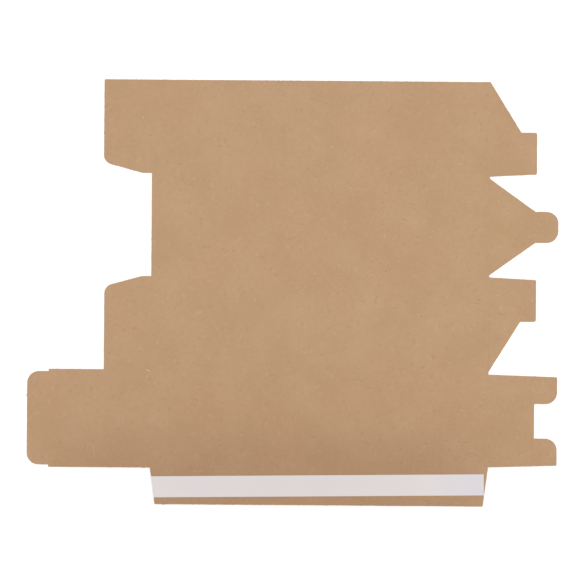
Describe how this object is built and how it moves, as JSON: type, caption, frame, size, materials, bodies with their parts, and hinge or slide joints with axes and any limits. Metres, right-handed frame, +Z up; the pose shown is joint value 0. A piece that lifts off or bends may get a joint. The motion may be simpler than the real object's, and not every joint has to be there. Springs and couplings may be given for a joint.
{
  "type": "flat gift carton blank",
  "caption": "Flat die-cut kraft board blank of a tall gift carton, with a tuck lid, dust flaps, a snap-lock bottom and a glue flap that carries a covered adhesive strip",
  "frame": {"origin": "on the surface that the blank lies on, below the middle of its outline", "axes": "+X along the finished box's height towards the snap-lock bottom, +Y from the glue flap towards the first wall, +Z up through the board"},
  "size_m": [0.497, 0.3982, 0.0018],
  "materials": {
    "kraft_board": "uncoated brown kraft with fine fibres and flecks",
    "adhesive": "pale double-sided adhesive",
    "liner_paper": "smooth white release paper"
  },
  "bodies": {
    "walls": {"wall_panels": "kraft_board"},
    "lid": {"lid_panel": "kraft_board"},
    "tuck": {"tuck_flap": "kraft_board"},
    "first_dust": {"first_dust_flap": "kraft_board"},
    "second_dust": {"second_dust_flap": "kraft_board"},
    "first_side": {"first_side_flap": "kraft_board"},
    "tongue": {"tongue_flap": "kraft_board"},
    "second_side": {"second_side_flap": "kraft_board"},
    "slot": {"slot_flap": "kraft_board"},
    "glue": {"glue_flap": "kraft_board", "adhesive_strip": "adhesive", "release_liner": "liner_paper"}
  },
  "joints": [
    {"name": "lid_fold", "type": "hinge", "parent": "walls", "child": "lid", "pos_m": [-0.13295, -0.11885, 0.0015], "axis": [0, 1, 0], "range_deg": [0, 90]},
    {"name": "tuck_fold", "type": "hinge", "parent": "lid", "child": "tuck", "pos_m": [-0.22295, -0.11885, 0.0015], "axis": [0, 1, 0], "range_deg": [0, 90]},
    {"name": "first_dust_fold", "type": "hinge", "parent": "walls", "child": "first_dust", "pos_m": [-0.13295, 0.15415, 0.0015], "axis": [0, 1, 0], "range_deg": [0, 90]},
    {"name": "second_dust_fold", "type": "hinge", "parent": "walls", "child": "second_dust", "pos_m": [-0.13295, -0.02785, 0.0015], "axis": [0, 1, 0], "range_deg": [0, 90]},
    {"name": "first_side_fold", "type": "hinge", "parent": "walls", "child": "first_side", "pos_m": [0.18405, 0.15415, 0.0015], "axis": [0, -1, 0], "range_deg": [0, 90]},
    {"name": "tongue_fold", "type": "hinge", "parent": "walls", "child": "tongue", "pos_m": [0.18405, 0.06315, 0.0015], "axis": [0, -1, 0], "range_deg": [0, 90]},
    {"name": "second_side_fold", "type": "hinge", "parent": "walls", "child": "second_side", "pos_m": [0.18405, -0.02785, 0.0015], "axis": [0, -1, 0], "range_deg": [0, 90]},
    {"name": "slot_fold", "type": "hinge", "parent": "walls", "child": "slot", "pos_m": [0.18405, -0.11885, 0.0015], "axis": [0, -1, 0], "range_deg": [0, 90]},
    {"name": "glue_fold", "type": "hinge", "parent": "walls", "child": "glue", "pos_m": [0.02555, -0.16485, 0.0015], "axis": [-1, 0, 0], "range_deg": [0, 90]}
  ]
}
